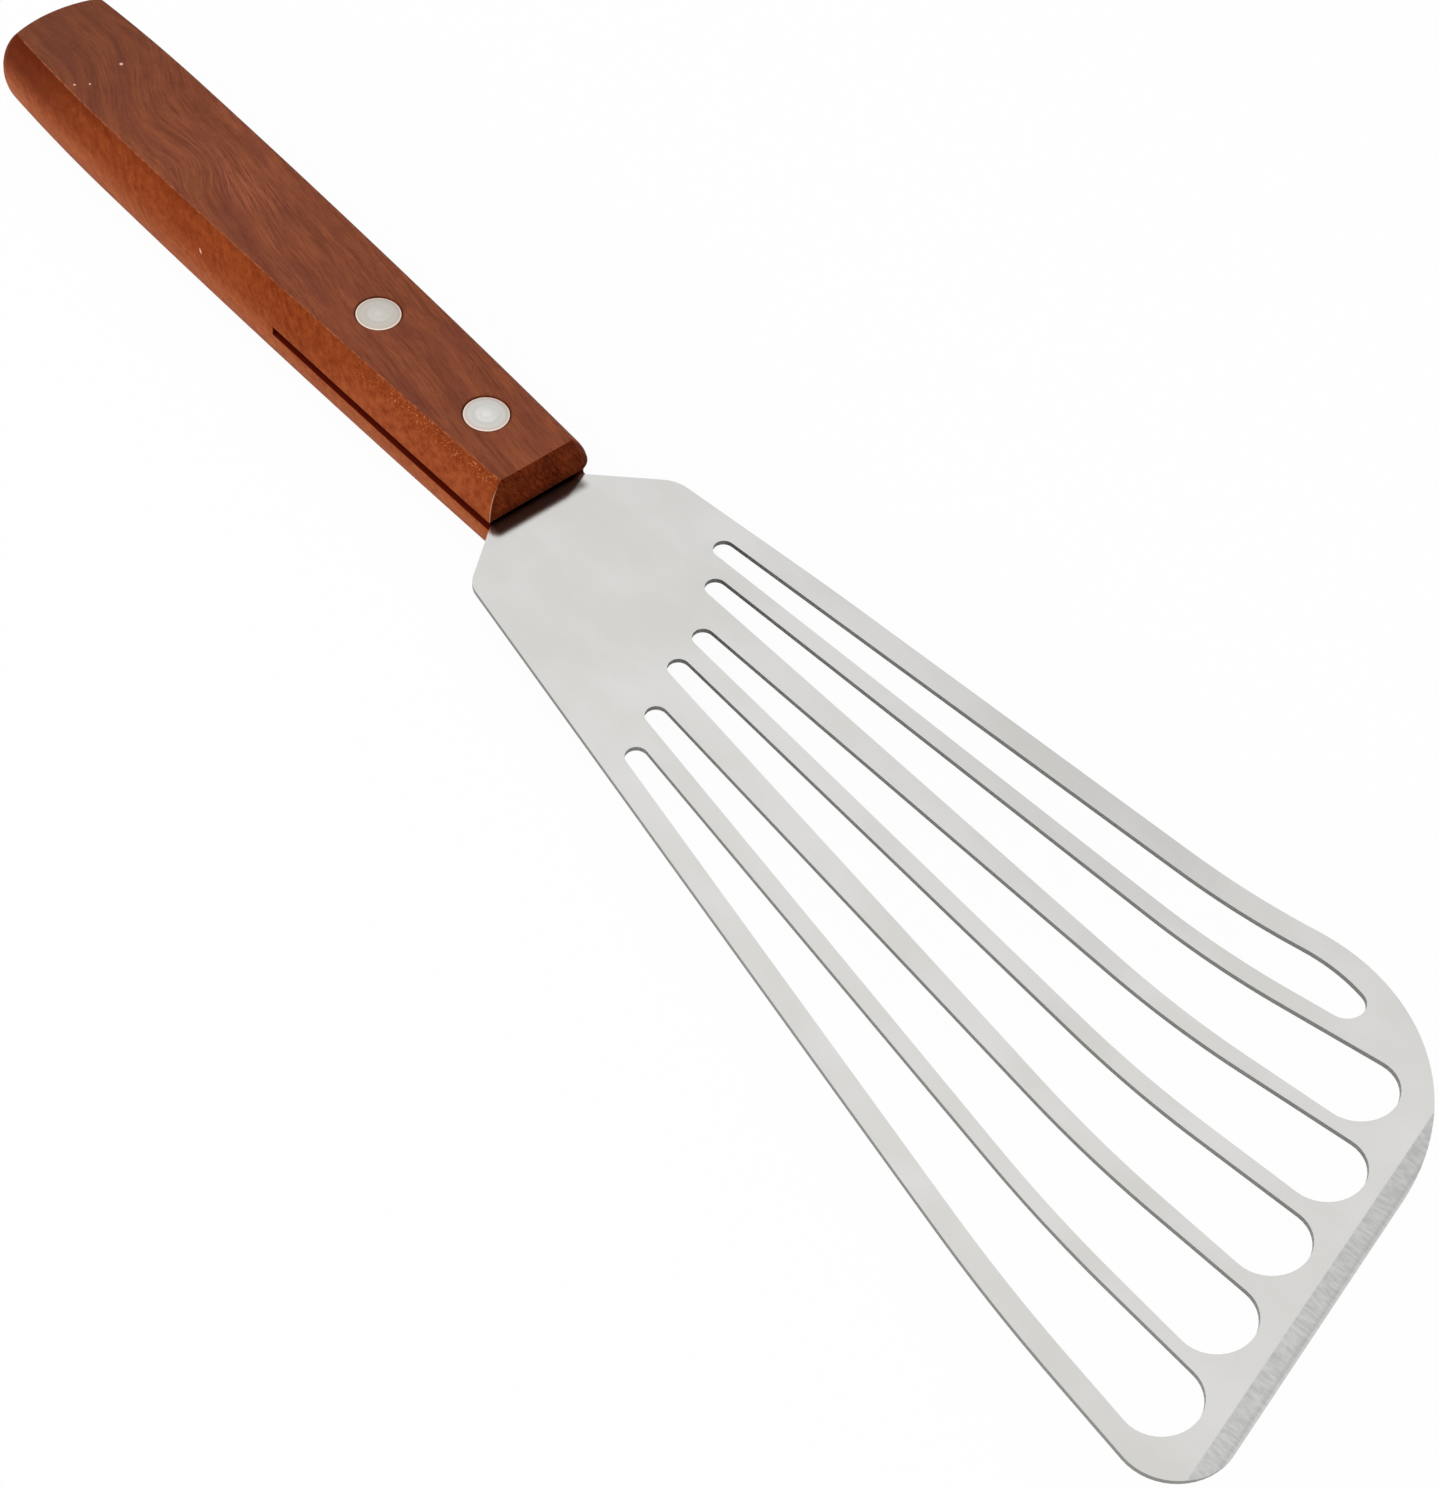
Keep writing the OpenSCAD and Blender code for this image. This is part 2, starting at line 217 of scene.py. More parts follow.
# The growth layers' course, in millimetres: they drift across the handle in front of DRIFT_X, shift over SHIFT_X,
# swirl round SWIRL_AT, lean as they go up, and wobble and waver everywhere
DRIFT_X, DRIFT_SLOPE = -66.0, 0.15
SHIFT_X, SHIFT_BY = (-88.0, -65.0), 8.5
SWIRL_AT, SWIRL_REACH, SWIRL_BY = (-56.0, -2.0), (7.5, 4.5), 3.0
LAYER_LEAN = 0.45
WOBBLE_BY, WAVER_BY = 3.0, 0.5
FLECK_A = math.radians(-36.87)
END_GRAIN_LEAN = 0.5

# Colours of plain wood, from its darkest to its palest
# The flats' colours carry a painted grey sheen as well as the wood's own tone
FLAT_WOOD_AND_SHEEN = rgb(106, 55, 38), rgb(144, 80, 53)
SIDE_WOOD = rgb(107, 39, 11), rgb(140, 66, 29)
# The lower sides' colours are paler with painted light from the floor below
LOWER_WOOD_BOUNCE_LIT = rgb(127, 58, 26), rgb(162, 88, 46)
END_WOOD = rgb(70, 19, 5), rgb(128, 54, 24)
# Colours of what lies in it or on it
DARK_VEIN, PALE_VEIN, DULL_PATCH, PORE_BROWN = rgb(86, 44, 32), rgb(164, 98, 68), rgb(112, 58, 48), rgb(48, 18, 10)
BUTT_BROWN, PALE_FIGURE = rgb(90, 54, 40), rgb(166, 98, 68)
RUBBED, ARRIS_STAIN, BUTT_STAIN, END_SHADE = rgb(154, 78, 44), rgb(92, 28, 6), rgb(80, 23, 2), rgb(40, 18, 10)
# These three also stand for painted highlights: on the front corner, in flecks below the arris, and along the
# arrises
WORN_CORNER_AND_HIGHLIGHT, CHIPS_AND_GLINTS_PALE, WORN_ARRIS_AND_HIGHLIGHT = rgb(204, 150, 116), rgb(204, 126, 84), rgb(172, 98, 64)
# The last two are painted shade: round the rivet heads and inside the kerf
SPECK_PALE, SLIVER_PALE, HEAD_GAP_SHADE, KERF_SHADE = rgb(222, 190, 172), rgb(228, 168, 140), rgb(38, 16, 8), rgb(92, 22, 10)
SPECULAR, SPECULAR_TINT = 0.04, (1.0, 0.5, 0.28, 1.0)

# Where these lie, in millimetres: a pair of places is where a thing starts and where it is full
BUTT_BROWN_X = (-62.0, -96.0)
FIGURE_AT, FIGURE_REACH = (-47.0, 0.5), (10.0, 3.5)
BOUNCE_LIT_Z = (9.0, 3.5)
RUBBED_X, RUBBED_LOW, RUBBED_HIGH = (-14.0, 0.0), (6.8, 8.0), (11.6, 10.4)
ARRIS_STAIN_X, ARRIS_STAIN_Z = (-24.0, -60.0), (11.3, 12.2)
BUTT_STAIN_X, BUTT_STAIN_Z = (-66.0, -94.0), (6.0, 10.0)
END_X, END_SHADE_Z = (10.0, 20.0), (8.8, 7.2)
CORNER_X_AT, CORNER_Y_AT, CORNER_Z_AT = (20.0, 22.0), (-5.0, -6.0), (12.3, 10.5)
SCUFF_X, SCUFF_Z = (-12.0, 4.0), (10.6, 11.6)
LONG_SIDE_Y = (0.0, -1.0)
SPECK_Z = (9.0, 11.0)
# Pale mineral specks on the top: place along and across, and size
SPECKS = [(-81.0, 1.4, 0.38), (-79.8, -5.2, 0.26), (-81.0, -7.2, 0.3)]
# A pale sliver on the long side: place along and up, half its length and width, and its slant
SLIVER_X, SLIVER_Z, SLIVER_LONG, SLIVER_WIDE, SLIVER_A = -42.7, 8.45, 0.6, 0.2, math.radians(-41)
# Painted shade round the rivet heads, from its outer to its inner distance, and the fade of the kerf's painted shade
# at its edges
HEAD_SHADE_OUT, HEAD_SHADE_IN = 0.42, 0.1
KERF_SHADE_FADE_Z, KERF_SHADE_FADE_X = 0.06, 0.1


def growth_layer(g, x, y, z):
    """how far across the growth layers a place lies"""
    drift = g.mul(g.math("MAXIMUM", g.add(x, -DRIFT_X), 0.0), DRIFT_SLOPE)
    shift = g.smooth(x, *SHIFT_X, high=SHIFT_BY)
    wobble = g.mul(g.add(g.noise((x, y, z), *WOBBLE), -0.5), WOBBLE_BY)
    waver = g.mul(g.add(g.noise((x, y, z), *WAVER), -0.5), WAVER_BY)
    swirl = g.mul(g.bell((x, y), SWIRL_AT, SWIRL_REACH), -SWIRL_BY)
    return g.add(y, drift, shift, g.mul(z, LAYER_LEAN), wobble, waver, swirl)


def wood():
    g = Graph(bpy.data.materials.new("handle_wood"))
    x, y, z = g.axes(g.place())
    normal_x, _, normal_z = g.axes(g.node("NewGeometry").outputs["Normal"])
    # up is 1 on the flats, along is 1 on a face square to the handle
    up, along = g.size(normal_z), g.size(normal_x)

    layer = growth_layer(g, x, y, z)
    broad, streak, fine, line, patch, pore = [
        g.noise((x, layer, z), *kind) for kind in (BROAD, STREAK, FINE, LINE, PATCH, PORE)]
    mottle, blotch, chip, dash = [g.noise((x, y, z), *kind) for kind in (MOTTLE, BLOTCH, CHIP, DASH)]
    fleck = g.noise((*g.turned(x, z, FLECK_A), y), *FLECK)
    end_grain = g.noise((x, g.add(y, g.mul(z, END_GRAIN_LEAN)), z), *END_GRAIN)

    # The flats show long streaks along the layers, with veins and lines among them
    tone = g.weighed((broad, 0.50), (streak, 0.45), (fine, 0.45), (mottle, 0.35))
    # Their colours carry a painted grey sheen
    flat = g.mix(g.smooth(tone, 0.62, 1.10), *FLAT_WOOD_AND_SHEEN)
    vein = g.mul(g.smooth(streak, 0.54, 0.68), g.smooth(broad, 0.40, 0.60))
    flat = g.mix(g.mul(vein, 0.6), flat, DARK_VEIN)
    flat = g.mix(g.smooth(line, 0.47, 0.36, high=0.38), flat, DARK_VEIN)
    flat = g.mix(g.smooth(line, 0.56, 0.68, high=0.30), flat, PALE_VEIN)
    flat = g.mix(g.smooth(patch, 0.48, 0.66, high=0.4), flat, DULL_PATCH)
    flat = g.mix(g.smooth(x, *BUTT_BROWN_X, high=0.35), flat, BUTT_BROWN)
    figure = g.mul(g.bell((x, y), FIGURE_AT, FIGURE_REACH), g.smooth(line, 0.42, 0.62, high=0.65))
    flat = g.mix(figure, flat, PALE_FIGURE)

    # The turned sides show the layers edge on: a mottle of short slanting flecks in place of long streaks.
    # Their lower half is painted paler, as light from the floor below
    tone = g.smooth(g.weighed((broad, 0.30), (blotch, 0.60), (fleck, 0.50)), 0.45, 0.95)
    side = g.mix(g.smooth(z, *BOUNCE_LIT_Z), g.mix(tone, *SIDE_WOOD), g.mix(tone, *LOWER_WOOD_BOUNCE_LIT))
    # Near the blade the hand has rubbed them paler; behind it a darker line of stain runs below the arris
    rubbed = g.mul(g.smooth(x, *RUBBED_X), g.smooth(z, *RUBBED_LOW), g.smooth(z, *RUBBED_HIGH))
    side = g.mix(g.mul(rubbed, g.smooth(blotch, 0.32, 0.70, 0.1, 0.55)), side, RUBBED)
    for strength, at_x, at_z, stain in ((0.35, ARRIS_STAIN_X, ARRIS_STAIN_Z, ARRIS_STAIN),
                                        (0.8, BUTT_STAIN_X, BUTT_STAIN_Z, BUTT_STAIN)):
        side = g.mix(g.mul(g.smooth(x, *at_x), g.smooth(z, *at_z), strength), side, stain)

    # The front face is end grain, darker towards the blade
    end = g.mix(g.smooth(g.weighed((end_grain, 0.7), (mottle, 0.3)), 0.35, 0.70), *END_WOOD)
    end = g.mix(g.smooth(z, *END_SHADE_Z, high=0.4), end, END_SHADE)

    colour = g.mix(g.smooth(up, 0.995, 0.86), flat, side)
    colour = g.mix(g.mul(g.smooth(along, 0.30, 0.75), g.smooth(x, *END_X)), colour, end)

    # Handling has paled the front corner on the long side, and a painted highlight runs down it
    corner = g.mul(g.smooth(along, 0.45, 0.6), g.smooth(along, 0.92, 0.8), g.smooth(x, *CORNER_X_AT),
                   g.smooth(y, *CORNER_Y_AT), g.smooth(z, *CORNER_Z_AT))
    colour = g.mix(g.mul(corner, 0.6), colour, WORN_CORNER_AND_HIGHLIGHT)
    # Light flecks below the arris near it: worn chips, with painted glints of the fibres
    scuff = g.mul(g.smooth(x, *SCUFF_X), g.smooth(y, *LONG_SIDE_Y), g.smooth(z, *SCUFF_Z),
                  g.smooth(up, 0.95, 0.88), g.smooth(along, 0.3, 0.2), g.smooth(chip, 0.58, 0.67))
    colour = g.mix(g.mul(scuff, 0.5), colour, CHIPS_AND_GLINTS_PALE)
    # The long arrises are worn pale in dashes, which also stand for a painted highlight along them
    worn_and_highlight = g.mul(g.smooth(up, 0.998, 0.985), g.smooth(up, 0.84, 0.92), g.smooth(along, 0.3, 0.15),
                 g.smooth(dash, 0.42, 0.64, high=0.6))
    colour = g.mix(worn_and_highlight, colour, WORN_ARRIS_AND_HIGHLIGHT)

    # Open pores along the layers
    pore = g.smooth(pore, 0.66, 0.74)
    colour = g.mix(g.mul(pore, 0.35), colour, PORE_BROWN)

    for speck_x, speck_y, size in SPECKS:
        off = g.length(g.vector(g.add(x, -speck_x), g.add(y, -speck_y)))
        off = g.add(off, g.mul(g.add(mottle, -0.5), 0.3))
        colour = g.mix(g.mul(g.smooth(off, size, size * 0.4), g.smooth(z, *SPECK_Z)), colour, SPECK_PALE)
    sliver_u, sliver_v = g.turned(g.add(x, -SLIVER_X), g.add(z, -SLIVER_Z), SLIVER_A)
    off = g.length(g.vector(g.mul(sliver_u, 1 / SLIVER_LONG), g.mul(sliver_v, 1 / SLIVER_WIDE)))
    colour = g.mix(g.mul(g.smooth(off, 1.0, 0.4), g.smooth(y, *LONG_SIDE_Y)), colour, SLIVER_PALE)

    # Painted shade lies round the rivet heads, where they meet the wood, varied by a mottle
    off = g.length(g.vector(g.add(g.size(x), -RIVET_X), y))
    head_shade = g.mul(g.smooth(off, HEAD_D / 2 + HEAD_SHADE_OUT, HEAD_D / 2 + HEAD_SHADE_IN),
                  g.smooth(mottle, 0.3, 0.7, 0.25, 0.65))
    colour = g.mix(head_shade, colour, HEAD_GAP_SHADE)
    # The kerf's walls are painted dark, as shade inside the kerf
    kerf_shade = g.mul(g.smooth(g.size(g.add(z, -MID_Z)), KERF_T / 2 + KERF_SHADE_FADE_Z, KERF_T / 2),
                 g.smooth(x, KERF_X - KERF_SHADE_FADE_X, KERF_X))
    colour = g.mix(kerf_shade, colour, KERF_SHADE)

    rough = g.add(0.40, g.mul(streak, 0.14))
    height = g.weighed((streak, 0.5), (fine, 0.35), (pore, -0.6))
    return g.surface(Base_Color=colour, Roughness=rough, Specular_IOR_Level=SPECULAR,
                     Specular_Tint=SPECULAR_TINT, Normal=g.bump(height, 0.03, 0.8))


# ------------------------------------------------------------------ metals
# Noises as for the wood: rolling lines and clouds on the sheet, grinding marks on its bevel, wear on the rivets
BRUSHED = (0.35, 6.0, 6.0), 3.0, 0.6
CLOUD = (0.06, 0.08, 0.08), 3.0, 0.5
GROUND = (0.5, 1.8), 4.0, 0.65
SCUFF = (3.0, 3.0, 3.0), 4.0, 0.6
WAVE = (0.5, 0.5, 0.5), 2.0, 0.5

# Colours of the sheet's face, of its bevel and of its cut edges, in the order that their noise takes them
FACE_STEEL = rgb(222, 221, 219), rgb(214, 213, 210)
BEVEL_STEEL = rgb(188, 188, 186), rgb(211, 211, 209)
CUT_STEEL = rgb(122, 122, 118), rgb(158, 158, 154)
# The bevel's darker line and its painted highlight; then a painted reflection of the handle's front and painted
# shade at its foot
BEVEL_LINE, BEVEL_HIGHLIGHT = rgb(168, 168, 166), rgb(218, 218, 216)
FRONT_REFLECTION_DARK, FOOT_SHADE = rgb(94, 82, 72), rgb(44, 30, 24)
HEAD_METAL = rgb(212, 210, 205), rgb(235, 233, 229)
# The heads' middle and rim colours are painted highlights
HEAD_HIGHLIGHT, HEAD_OUTER, HEAD_REAR, HEAD_RIM_HIGHLIGHT = (
    rgb(242, 240, 235), rgb(204, 192, 182), rgb(190, 178, 164), rgb(250, 228, 214))

# The bevel's strip: it narrows along the edge from the first place to the second, by these widths
STRIP_ALONG, STRIP_NARROW = (-20.0, 30.0), (0.35, -0.2)
# The foot of the handle's front: its ends across the blade, and how far out its painted reflection and painted shade
# reach
FOOT_SHORT, FOOT_LONG = (7.2, 5.6), (-10.2, -9.0)
REFLECTION_OUT, FOOT_SHADE_OUT = (3.6, 2.0), (1.5, 0.3)
# Distances from a rivet's middle: of its painted highlight in the centre, of its dull outer part and of its painted
# highlight on the rim
HIGHLIGHT_AT, OUTER_AT, RIM_HIGHLIGHT_AT = (1.8, 0.2), (2.0, 3.0), (3.1, 3.25)
# Places along the handle between which the heads turn duller
REAR_X = (4.0, -4.0)
RING_RATE = 5.0


def front_frame():
    """the directions out of and along the front edge in the blade's turned-up plane, and a point on the edge"""
    aim, back = Matrix.Rotation(BEND_DIR, 3, "Z"), Matrix.Rotation(-BEND_DIR, 3, "Z")
    turn = aim @ Matrix.Rotation(-BEND_A, 3, "Y") @ back
    flat_end = aim @ Vector((BEND_AT + BEND_R * BEND_A, 0, 0))
    bend_end = aim @ Vector((BEND_AT + BEND_R * math.sin(BEND_A), 0, BEND_R * (1 - math.cos(BEND_A))))
    point = bend_end + turn @ (Vector((*TOE_LONG, 0)) - flat_end) + Vector((0, 0, MID_Z))
    out = turn @ Vector((math.cos(FRONT_A), math.sin(FRONT_A), 0))
    run = turn @ Vector((-math.sin(FRONT_A), math.cos(FRONT_A), 0))
    return out, run, point


def steel():
    g = Graph(bpy.data.materials.new("blade_steel"))
    place = g.place()
    x, y, z = g.axes(place)
    _, _, normal_z = g.axes(g.node("NewGeometry").outputs["Normal"])
    out, run, point = front_frame()
    inward = g.math("SUBTRACT", point.dot(out), g.dot(place, out))
    along_edge = g.dot(place, run)
    bevel = g.smooth(inward, BEVEL_W + BEVEL_FADE, BEVEL_W - BEVEL_FADE)
    brushed, cloud = g.noise((x, y, z), *BRUSHED), g.noise((x, y, z), *CLOUD)

    face = g.mix(g.smooth(g.weighed((brushed, 0.1), (cloud, 0.9)), 0.3, 0.7), *FACE_STEEL)
    # The grinding marks of the bevel slant across it
    ground = g.noise(g.turned(inward, along_edge, GRIND_A), *GROUND)
    band = g.mix(g.smooth(ground, 0.3, 0.7), *BEVEL_STEEL)
    # A paler strip along the edge is a painted highlight of the ground bevel, with a darker line inside it
    strip = g.add(inward, g.smooth(along_edge, *STRIP_ALONG, *STRIP_NARROW))
    band = g.mix(g.mul(g.smooth(strip, 1.3, 0.9), g.smooth(strip, 0.6, 0.8), 0.3), band, BEVEL_LINE)
    band = g.mix(g.smooth(strip, 0.75, 0.5, high=0.45), band, BEVEL_HIGHLIGHT)
    colour = g.mix(bevel, face, band)
    # Cut edges and slot walls are rougher and darker than the rolled face
    cut = g.smooth(g.size(normal_z), 0.6, 0.3)
    colour = g.mix(cut, colour, g.mix(brushed, *CUT_STEEL))
    # Along the foot of the handle's front face the blade is painted darker: a painted reflection of that face, and
    # painted shade at the foot
    foot = g.add(x, g.mul(cloud, 0.5), -FRONT_X)
    reach = g.mul(g.smooth(y, *FOOT_SHORT), g.smooth(y, *FOOT_LONG))
    reflection_dark = g.mul(g.smooth(foot, *REFLECTION_OUT), g.smooth(cloud, 0.2, 0.8, 0.76, 0.9))
    colour = g.mix(g.mul(reflection_dark, reach), colour, FRONT_REFLECTION_DARK)
    colour = g.mix(g.mul(g.smooth(foot, *FOOT_SHADE_OUT, high=0.75), reach), colour, FOOT_SHADE)

    rough = g.add(0.08, g.weighed((cloud, 0.05), (brushed, 0.03), (g.math("MAXIMUM", bevel, cut), 0.2)))
    height = g.add(g.mul(brushed, g.math("SUBTRACT", 1.0, bevel)), g.mul(ground, bevel, 1.5))
    return g.surface(Base_Color=colour, Metallic=1.0, Roughness=rough, Normal=g.bump(height, 0.004, 1.0))


def rivet_metal():
    g = Graph(bpy.data.materials.new("rivet_metal"))
    x, y, z = g.axes(g.place())
    r = g.length(g.vector(g.add(g.size(x), -RIVET_X), y))
    wave, scuff = g.noise((x, y, z), *WAVE), g.noise((x, y, z), *SCUFF)
    ring = g.math("SINE", g.weighed((r, RING_RATE), (wave, 2.0)))
    colour = g.mix(g.weighed((ring, 0.25), (scuff, 0.6)), *HEAD_METAL)
    # A painted highlight in each head's middle
    colour = g.mix(g.smooth(r, *HIGHLIGHT_AT, high=0.65), colour, HEAD_HIGHLIGHT)
    # The heads are duller towards the rim, and the rear one all over
    colour = g.mix(g.smooth(r, *OUTER_AT, high=0.6), colour, HEAD_OUTER)
    colour = g.mix(g.smooth(x, *REAR_X, high=0.4), colour, HEAD_REAR)
    # and a painted highlight on its rim
    colour = g.mix(g.smooth(r, *RIM_HIGHLIGHT_AT), colour, HEAD_RIM_HIGHLIGHT)
    rough = g.add(0.26, g.mul(scuff, 0.12))
    height = g.weighed((ring, 0.12), (scuff, 0.2))
    return g.surface(Base_Color=colour, Metallic=1.0, Roughness=rough, Normal=g.bump(height, 0.03, 0.8))


# ------------------------------------------------------------------ meshes
def steps(start, end, count):
    return [start + (end - start) * i / count for i in range(count + 1)]


def polar(centre_x, centre_y, radius, angle):
    return centre_x + radius * math.cos(angle), centre_y + radius * math.sin(angle)


def circle(bm, x, radius, z):
    turns = steps(0.0, 2 * math.pi, ROUND_STEPS)[:-1]
    return [bm.verts.new((*polar(x, 0, radius, a), z)) for a in turns]


def walls(bm, low, high):
    """quads between two closed loops of points"""
    for i in range(len(low)):
        bm.faces.new((low[i - 1], low[i], high[i], high[i - 1]))


def cap(bm, loops, up):
    """a flat face inside the first loop, open inside the others"""
    edges = []
    for loop in loops:
        for i in range(len(loop)):
            pair = (loop[i - 1], loop[i])
            edges.append(bm.edges.get(pair) or bm.edges.new(pair))
    bmesh.ops.triangle_fill(bm, use_beauty=True, edges=edges, normal=(0, 0, up))


def piece(name, bm, look, node):
    """a finished piece that stands for one CAD node"""
    bmesh.ops.recalc_face_normals(bm, faces=bm.faces)
    bmesh.ops.scale(bm, vec=(MM, MM, MM), verts=bm.verts)
    mesh = bpy.data.meshes.new(name)
    bm.to_mesh(mesh)
    bm.free()
    mesh.shade_smooth()
    mesh.set_sharp_from_angle(angle=SHARP_A)
    mesh.materials.append(looks[look])
    obj = bpy.data.objects.new(name, mesh)
    bpy.context.scene.collection.objects.link(obj)
    even = obj.modifiers.new("even_shading", "WEIGHTED_NORMAL")
    even.keep_sharp = True
    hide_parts(node)
    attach(obj, "root")


# ------------------------------------------------------------------ handle
def sag_radius(length, sag):
    """radius of an arc that drops by sag over a length from its crown"""
    return (length ** 2 + sag ** 2) / (2 * sag)


# Seen from above, the butt is one wide arc between two corner arcs
CORNER_Y = BUTT_D / 2 - BUTT_EDGE_R
BUTT_X = BACK_X + BUTT_R
CORNER_X = BUTT_X - math.sqrt((BUTT_R - BUTT_EDGE_R) ** 2 - CORNER_Y ** 2)
BUTT_HALF = math.atan2(CORNER_Y, BUTT_X - CORNER_X)
FRONT_ARC = sag_radius(FRONT_X - BELLY_X, (HANDLE_D - FRONT_D) / 2)
REAR_ARC = sag_radius(BELLY_X - CORNER_X, (HANDLE_D - BUTT_D) / 2)
# So many of an outline's points lie beside the kerf: the first ones, from its end to its end
FORK_POINTS = 2 * FORK_STEPS + 2 * CORNER_STEPS + 2
# Its points at the ends of the long corner, and at the middle of the short one
LONG_CORNER_AT = FORK_STEPS, FORK_STEPS + CORNER_STEPS
SHORT_CORNER_AT = FORK_STEPS + 1.5 * CORNER_STEPS + 1


def handle_outline(z):
    """the handle's outline at a height, seen from above, anticlockwise from the kerf's end on the long side"""
    h = z - AXIS_Z
    above_kerf = max(0.0, abs(z - MID_Z) - KERF_T / 2) / (MID_Z - KERF_T / 2)
    tip = FRONT_X - FRONT_LEAN * above_kerf
    at_kerf, at_flat = SHORT_CORNER_R["top" if z > MID_Z else "bottom"]
    rounded = at_kerf + (at_flat - at_kerf) * above_kerf
    inset = BUTT_D / 2 - math.sqrt(BUTT_D ** 2 / 4 - h * h)

    def half(x):
        arc = FRONT_ARC if x > BELLY_X else REAR_ARC
        return math.sqrt((HANDLE_D / 2 - arc + math.sqrt(arc ** 2 - (x - BELLY_X) ** 2)) ** 2 - h * h)

    def side(start, end, count, sign):
        return [(x, sign * half(x)) for x in steps(start, end, count)]

    def arc(x, y, radius, start, end, count):
        return [polar(x, y, radius, a) for a in steps(start, end, count)]

    quarter, turn = math.pi / 2, math.pi
    long_x, short_x = tip - LONG_CORNER_R, tip - rounded
    fork = side(KERF_X, long_x, FORK_STEPS, -1)
    fork += arc(long_x, LONG_CORNER_R - half(long_x), LONG_CORNER_R, -quarter, 0, CORNER_STEPS)[1:]
    fork += arc(short_x, half(short_x) - rounded, rounded, 0, quarter, CORNER_STEPS)
    fork += side(short_x, KERF_X, FORK_STEPS, 1)[1:]
    rear = side(KERF_X, CORNER_X, REAR_STEPS, 1)[1:]
    rear += arc(CORNER_X, CORNER_Y, BUTT_EDGE_R - inset, quarter, turn - BUTT_HALF, CORNER_STEPS)[1:]
    rear += arc(BUTT_X, 0, BUTT_R - inset, turn - BUTT_HALF, turn + BUTT_HALF, BUTT_STEPS)[1:]
    rear += arc(CORNER_X, -CORNER_Y, BUTT_EDGE_R - inset, turn + BUTT_HALF, 3 * quarter, CORNER_STEPS)[1:]
    rear += side(CORNER_X, KERF_X, REAR_STEPS, -1)[1:-1]
    return [Vector((px, py, z)) for px, py in fork + rear]


def eased(edge_z, way, amounts, drop):
    """rings that round an edge off, from the wall over the sharp edge at edge_z on to the flat

    way is 1 where the wall goes up from the edge; amounts tells how far in each place is rounded on the flat,
    and drop is the share of that which goes along the wall
    """
    deepest = max(amounts)
    wall, sharp = handle_outline(edge_z + way * deepest * drop), handle_outline(edge_z)
    total = len(sharp)
    rings = []
    for t in steps(0.0, 1.0, EASE_STEPS):
        ring = []
        for i in range(total):
            run = sharp[(i + 1) % total] - sharp[i - 1]
            flat = sharp[i] + Vector((-run.y, run.x, 0)).normalized() * amounts[i]
            start = sharp[i].lerp(wall[i], amounts[i] / deepest)
            ring.append(start * (1 - t) ** 2 + sharp[i] * 2 * t * (1 - t) + flat * t * t)
        rings.append(ring)
    return rings


def arris_amounts(total):
    """the long edges are eased alike all round, but by less than the long corner's radius there"""
    amounts = [ARRIS] * total
    first, last = LONG_CORNER_AT
    for i in range(first, last + 1):
        amounts[i] = CORNER_ARRIS
    return amounts


def lip_amounts(total):
    """the kerf's mouth is eased a little all round, more at the worn short corner, and not at all behind"""
    amounts = [0.0] * total
    for i in range(1, FORK_POINTS - 1):
        off = (i - SHORT_CORNER_AT) / (CORNER_STEPS / 2)
        amounts[i] = LIP + CORNER_LIP * math.exp(-off ** 2)
    return amounts


def rivet_hole(bm, x, flat_z, kerf_z, way):
    """a stepped hole's wall from the flat to the kerf, and its first and last loops"""
    seat_r, bore_r = HEAD_D / 2 + HOLE_CLEAR, TUBE_D / 2 + HOLE_CLEAR
    floor_z = flat_z + way * (HEAD_T + HEAD_SINK)
    places = [(seat_r + MOUTH_WIDE, flat_z), (seat_r, flat_z + way * MOUTH_DEEP), (seat_r, floor_z),
              (bore_r, floor_z), (bore_r, kerf_z)]
    loops = [circle(bm, x, r, z) for r, z in places]
    for a, b in zip(loops, loops[1:]):
        walls(bm, a, b)
    return loops[0], loops[-1]


def handle():
    bm = bmesh.new()
    total = len(handle_outline(MID_Z))
    arris, lip = arris_amounts(total), lip_amounts(total)
    mouths = []
    # Each half of the fork goes from its flat to the kerf; way points from the flat towards the kerf
    for flat_z, kerf_z, way in ((0.0, MID_Z - KERF_T / 2, 1), (HANDLE_T, MID_Z + KERF_T / 2, -1)):
        rings = eased(flat_z, way, arris, ARRIS_DROP)[::-1]
        wall = steps(flat_z + way * ARRIS * ARRIS_DROP, kerf_z - way * max(lip), WALL_STEPS)[1:-1]
        rings += [handle_outline(z) for z in wall]
        rings += eased(kerf_z, -way, lip, 1.0)
        rings = [[bm.verts.new(v) for v in ring] for ring in rings]
        for a, b in zip(rings, rings[1:]):
            walls(bm, a, b)
        seats, bores = zip(*[rivet_hole(bm, x, flat_z, kerf_z, way) for x in (-RIVET_X, RIVET_X)])
        cap(bm, [rings[0], *seats], -way)
        cap(bm, [rings[-1][:FORK_POINTS], *bores], way)
        mouths.append(rings[-1])
    # Behind the kerf the two halves are one
    low, high = [mouth[FORK_POINTS - 1:] + mouth[:1] for mouth in mouths]
    walls(bm, low, high)
    piece("turned_handle", bm, "wood", "handle")


# ------------------------------------------------------------------ rivets
def spun(profile, x, flip):
    """a solid turned about a rivet's axis from places across and along it; flip turns it upside down"""
    bm = bmesh.new()
    loops = []
    for r, z in profile:
        z = HANDLE_T - z if flip else z
        loops.append([bm.verts.new((x, 0, z))] if r == 0 else circle(bm, x, r, z))
    for a, b in zip(loops, loops[1:]):
        if len(a) > 1 and len(b) > 1:
            walls(bm, a, b)
            continue
        (tip,), rim = sorted((a, b), key=len)
        for i in range(ROUND_STEPS):
            bm.faces.new((tip, rim[i - 1], rim[i]))
    return bm


